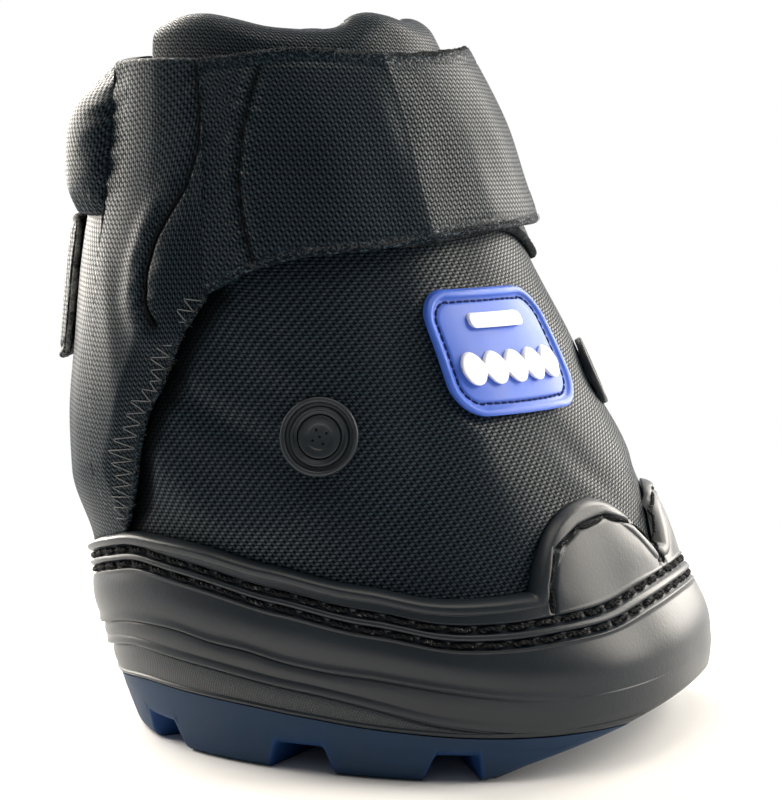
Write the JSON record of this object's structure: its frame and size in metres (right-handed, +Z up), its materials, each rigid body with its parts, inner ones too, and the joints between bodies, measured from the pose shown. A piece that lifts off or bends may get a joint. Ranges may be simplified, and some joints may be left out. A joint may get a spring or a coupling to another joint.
{
  "type": "horse hoof boot",
  "caption": "Hoof boot with a moulded rubber shell on a lugged outsole and a padded fabric upper closed by a wide front strap and a heel tab.",
  "frame": {"origin": "on the ground under the middle of the sole, on the flat bottom of the tread", "axes": "+Z up, +X to the toe, -Y the near side that the strap is sewn to"},
  "size_m": [0.1604, 0.1352, 0.1711],
  "materials": {
    "shell_rubber": "satin moulded black rubber",
    "sole_rubber": "satin dark navy rubber",
    "nylon": "coarse ballistic weave",
    "lining": "foam-backed knit",
    "foam": "closed-cell foam",
    "board": "fibre board",
    "grip": "hook and loop",
    "vent_rubber": "satin moulded",
    "patch_blue": "satin moulded",
    "patch_white": "satin moulded",
    "thread": "bonded thread"
  },
  "bodies": {
    "root": {"comfort_pad": "foam", "far_collar_pad": "nylon", "far_lobe_thread": "thread", "far_quarter": "nylon", "far_vent_bezel": "vent_rubber", "far_vent_disc": "vent_rubber", "far_vent_washer": "vent_rubber", "front_collar_pad": "nylon", "heel_loop_patch": "grip", "heel_tab_anchor": "nylon", "liner_board": "board", "near_collar_pad": "nylon", "near_lobe_thread": "thread", "near_quarter": "nylon", "near_vent_bezel": "vent_rubber", "near_vent_disc": "vent_rubber", "near_vent_washer": "vent_rubber", "outsole_tread": "sole_rubber", "patch_bar": "patch_white", "patch_base": "patch_blue", "patch_lozenges": "patch_white", "rim_thread_lower": "thread", "rim_thread_upper": "thread", "rubber_shell": "shell_rubber", "toe_vent_bezel": "vent_rubber", "toe_vent_disc": "vent_rubber", "toe_vent_washer": "vent_rubber", "vamp_lining": "lining", "vamp_outer": "nylon"},
    "strap_base": {"strap_base": "nylon"},
    "strap_tip": {"strap_tip": "nylon", "strap_hook_patch": "grip"},
    "far_flap": {"far_flap": "nylon", "flap_loop_patch": "grip"},
    "heel_tab": {"heel_tab": "nylon", "heel_hook_patch": "grip"}
  },
  "joints": [
    {"name": "strap_open", "type": "hinge", "parent": "root", "child": "strap_base", "pos_m": [-0.02183, -0.05894, 0.10596], "axis": [0.1479, -0.2663, -0.9525], "range_deg": [0, 110]},
    {"name": "strap_tip_peel", "type": "hinge", "parent": "strap_base", "child": "strap_tip", "pos_m": [0.02571, -0.03675, 0.1182], "axis": [0.3481, -0.1765, -0.9207], "range_deg": [0, 120]},
    {"name": "far_flap_open", "type": "hinge", "parent": "root", "child": "far_flap", "pos_m": [-0.02172, 0.05756, 0.1059], "axis": [-0.1449, -0.2657, 0.9531], "range_deg": [0, 44]},
    {"name": "heel_tab_peel", "type": "hinge", "parent": "root", "child": "heel_tab", "pos_m": [-0.06754, 0.04683, 0.0875], "axis": [-0.0242, 0.1886, -0.9818], "range_deg": [0, 110]}
  ],
  "couplings": [
    {"joint": "far_flap_open", "follows": "strap_open", "ratio": 0.4}
  ]
}
